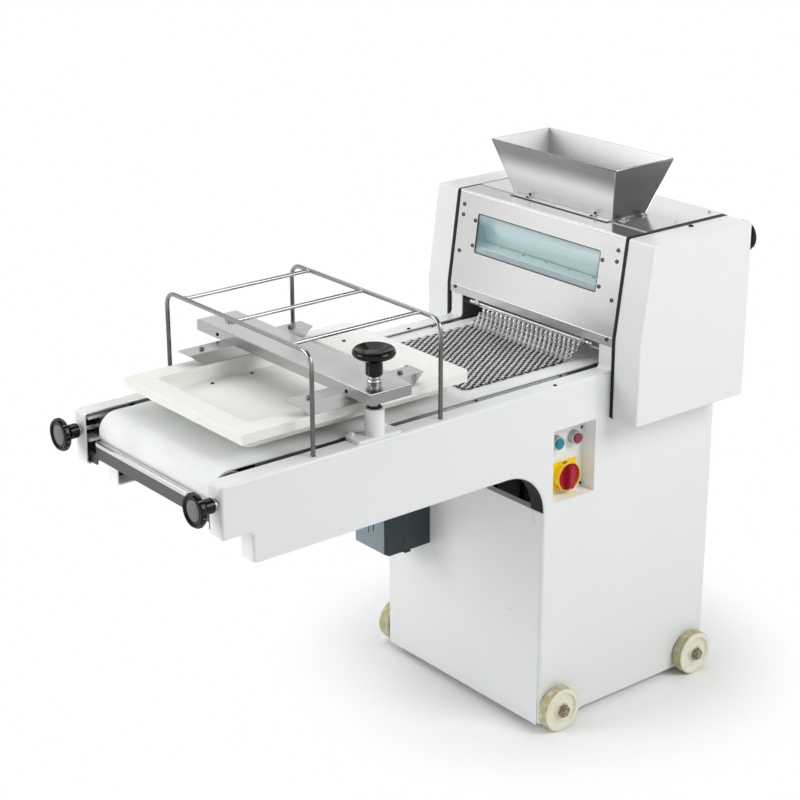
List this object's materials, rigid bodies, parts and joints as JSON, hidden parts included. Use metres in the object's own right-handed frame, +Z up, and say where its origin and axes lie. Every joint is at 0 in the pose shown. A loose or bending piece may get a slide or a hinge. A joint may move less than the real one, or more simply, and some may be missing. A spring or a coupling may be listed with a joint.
{
  "type": "dough moulder",
  "caption": "Bakery dough moulder on wheels: sheeting rollers under a feed hopper pass dough to a belt with a chain mat and a height-adjustable pressure board under a wire guard.",
  "frame": {"origin": "on the floor, under the centre of the object's outer box", "axes": "+X to the operator's side with the controls, +Y from the outfeed end to the roller head, +Z up"},
  "size_m": [0.676, 1.4, 1.1925],
  "materials": {
    "white_coat": "gloss powder coat",
    "stainless": "brushed stainless sheet",
    "bright_steel": "polished rod and trim",
    "plain_steel": "machined steel",
    "grey_steel": "zinc grey",
    "cast_motor": "painted casting",
    "belt": "food belt",
    "drive_rubber": "black rubber",
    "board": "ivory polyethylene",
    "nylon": "aged nylon",
    "black_knob": "black moulded knob",
    "grey_box": "blue-grey moulding",
    "pane": "clear acrylic",
    "teal": "green cap",
    "crimson": "red cap",
    "yellow": "yellow plate",
    "red": "red dial"
  },
  "bodies": {
    "frame": {"side_frame_left": "white_coat", "side_frame_right": "white_coat", "base_plate": "grey_steel", "cabinet_front_panel": "white_coat", "rear_panel": "white_coat", "cable_gland": "drive_rubber", "electrical_box": "grey_box", "cross_tubes": "grey_steel", "belt_bed": "stainless", "front_tie_bar": "stainless", "conveyor_belt": "belt", "front_cover": "stainless", "window_pane": "pane", "top_lid": "stainless", "hopper": "stainless", "side_housing_left": "white_coat", "side_housing_right": "white_coat", "edge_trims": "drive_rubber", "mat_rod": "bright_steel", "guard_frame": "bright_steel", "posts": "white_coat", "shaft_bearings": "cast_motor", "scraper_bars": "stainless", "motor": "cast_motor", "drive_belt": "drive_rubber", "control_recess": "white_coat", "button_bezels": "bright_steel", "switch_plate": "yellow", "axle_bolts": "plain_steel"},
    "mat": {"chain_mat": "stainless"},
    "wheel_front_left": {"wheel_front_left": "nylon"},
    "wheel_front_right": {"wheel_front_right": "nylon"},
    "wheel_rear_left": {"wheel_rear_left": "nylon"},
    "wheel_rear_right": {"wheel_rear_right": "nylon"},
    "tail_carriage": {"tension_blocks": "plain_steel"},
    "tail_roller": {"tail_roller": "plain_steel"},
    "tension_knob_left": {"tension_knob_left": "black_knob"},
    "tension_knob_right": {"tension_knob_right": "black_knob"},
    "belt_drive": {"belt_drive_roller": "plain_steel", "belt_drive_gear": "plain_steel", "drive_pulley": "cast_motor"},
    "lower_roller": {"lower_roller": "bright_steel", "lower_roller_gears": "plain_steel"},
    "rear_roller": {"rear_roller": "bright_steel", "rear_roller_gear": "plain_steel"},
    "upper_roller": {"upper_roller": "bright_steel", "upper_roller_gear": "plain_steel"},
    "motor_pulley": {"motor_pulley": "cast_motor"},
    "gap_carriage": {"gap_carriage": "plain_steel"},
    "gap_knob": {"gap_knob": "black_knob"},
    "press": {"press_beam": "stainless", "carrier_brackets": "stainless", "pressure_board": "board", "bracket_bolts": "bright_steel", "guide_rod": "plain_steel"},
    "press_knob": {"press_knob": "black_knob", "press_screw": "plain_steel"},
    "switch": {"switch_dial": "red"},
    "start_button": {"start_button": "teal"},
    "stop_button": {"stop_button": "crimson"}
  },
  "joints": [
    {"name": "wheel_front_right_spin", "type": "hinge", "parent": "frame", "child": "wheel_front_right", "pos_m": [0.277, 0.1871, 0.05], "axis": [1, 0, 0], "continuous": true},
    {"name": "wheel_front_left_spin", "type": "hinge", "parent": "frame", "child": "wheel_front_left", "pos_m": [-0.277, 0.1871, 0.05], "axis": [1, 0, 0], "continuous": true},
    {"name": "wheel_rear_right_spin", "type": "hinge", "parent": "frame", "child": "wheel_rear_right", "pos_m": [0.277, 0.602, 0.05], "axis": [1, 0, 0], "continuous": true},
    {"name": "wheel_rear_left_spin", "type": "hinge", "parent": "frame", "child": "wheel_rear_left", "pos_m": [-0.277, 0.602, 0.05], "axis": [1, 0, 0], "continuous": true},
    {"name": "lower_roller_spin", "type": "hinge", "parent": "frame", "child": "lower_roller", "pos_m": [0, 0.4225, 0.85], "axis": [1, 0, 0], "continuous": true},
    {"name": "rear_roller_spin", "type": "hinge", "parent": "gap_carriage", "child": "rear_roller", "pos_m": [0, 0.49942, 0.92], "axis": [1, 0, 0], "continuous": true},
    {"name": "upper_roller_spin", "type": "hinge", "parent": "frame", "child": "upper_roller", "pos_m": [0, 0.4225, 0.99], "axis": [1, 0, 0], "continuous": true},
    {"name": "belt_drive_spin", "type": "hinge", "parent": "frame", "child": "belt_drive", "pos_m": [0, 0.5031, 0.748], "axis": [1, 0, 0], "continuous": true},
    {"name": "tail_roller_spin", "type": "hinge", "parent": "tail_carriage", "child": "tail_roller", "pos_m": [0, -0.5905, 0.748], "axis": [1, 0, 0], "continuous": true},
    {"name": "motor_pulley_spin", "type": "hinge", "parent": "frame", "child": "motor_pulley", "pos_m": [0, 0.5031, 0.1295], "axis": [1, 0, 0], "continuous": true},
    {"name": "tension_knob_right_turn", "type": "hinge", "parent": "frame", "child": "tension_knob_right", "pos_m": [0.24, -0.6495, 0.748], "axis": [0, -1, 0], "range_deg": [0, 1440.01]},
    {"name": "tension_knob_left_turn", "type": "hinge", "parent": "frame", "child": "tension_knob_left", "pos_m": [-0.24, -0.6495, 0.748], "axis": [0, -1, 0], "range_deg": [0, 1440.01]},
    {"name": "tail_carriage_slide", "type": "slide", "parent": "frame", "child": "tail_carriage", "axis": [0, 1, 0], "range_m": [0, 0.008]},
    {"name": "gap_knob_turn", "type": "hinge", "parent": "frame", "child": "gap_knob", "pos_m": [0.277, 0.6505, 1.018], "axis": [0, -1, 0], "range_deg": [0, 900.01]},
    {"name": "gap_carriage_slide", "type": "slide", "parent": "frame", "child": "gap_carriage", "axis": [0, 1, 0], "range_m": [0, 0.005]},
    {"name": "press_slide", "type": "slide", "parent": "frame", "child": "press", "axis": [0, 0, 1], "range_m": [-0.01, 0.025]},
    {"name": "press_knob_turn", "type": "hinge", "parent": "press", "child": "press_knob", "pos_m": [0.24, -0.2835, 0.899], "axis": [0, 0, 1], "range_deg": [-900.01, 2250.01]},
    {"name": "mat_swing", "type": "hinge", "parent": "frame", "child": "mat", "pos_m": [0, 0.3355, 0.829], "axis": [-1, 0, 0], "range_deg": [0, 50]},
    {"name": "switch_turn", "type": "hinge", "parent": "frame", "child": "switch", "pos_m": [0.224, 0.2325, 0.569], "axis": [1, 0, 0], "range_deg": [0, 90]},
    {"name": "start_button_press", "type": "slide", "parent": "frame", "child": "start_button", "axis": [-1, 0, 0], "range_m": [0, 0.004], "stiffness_N_per_m": 400},
    {"name": "stop_button_press", "type": "slide", "parent": "frame", "child": "stop_button", "axis": [-1, 0, 0], "range_m": [0, 0.004], "stiffness_N_per_m": 400}
  ],
  "couplings": [
    {"joint": "rear_roller_spin", "follows": "lower_roller_spin", "ratio": -1},
    {"joint": "upper_roller_spin", "follows": "lower_roller_spin", "ratio": 1},
    {"joint": "belt_drive_spin", "follows": "lower_roller_spin", "ratio": -1.6},
    {"joint": "tail_roller_spin", "follows": "lower_roller_spin", "ratio": -1.6},
    {"joint": "motor_pulley_spin", "follows": "lower_roller_spin", "ratio": -3.2},
    {"joint": "tension_knob_right_turn", "follows": "tail_carriage_slide", "rad_per_m": 3141.6},
    {"joint": "tension_knob_left_turn", "follows": "tail_carriage_slide", "rad_per_m": 3141.6},
    {"joint": "gap_knob_turn", "follows": "gap_carriage_slide", "rad_per_m": 3141.6},
    {"joint": "press_knob_turn", "follows": "press_slide", "rad_per_m": 1570.8}
  ]
}
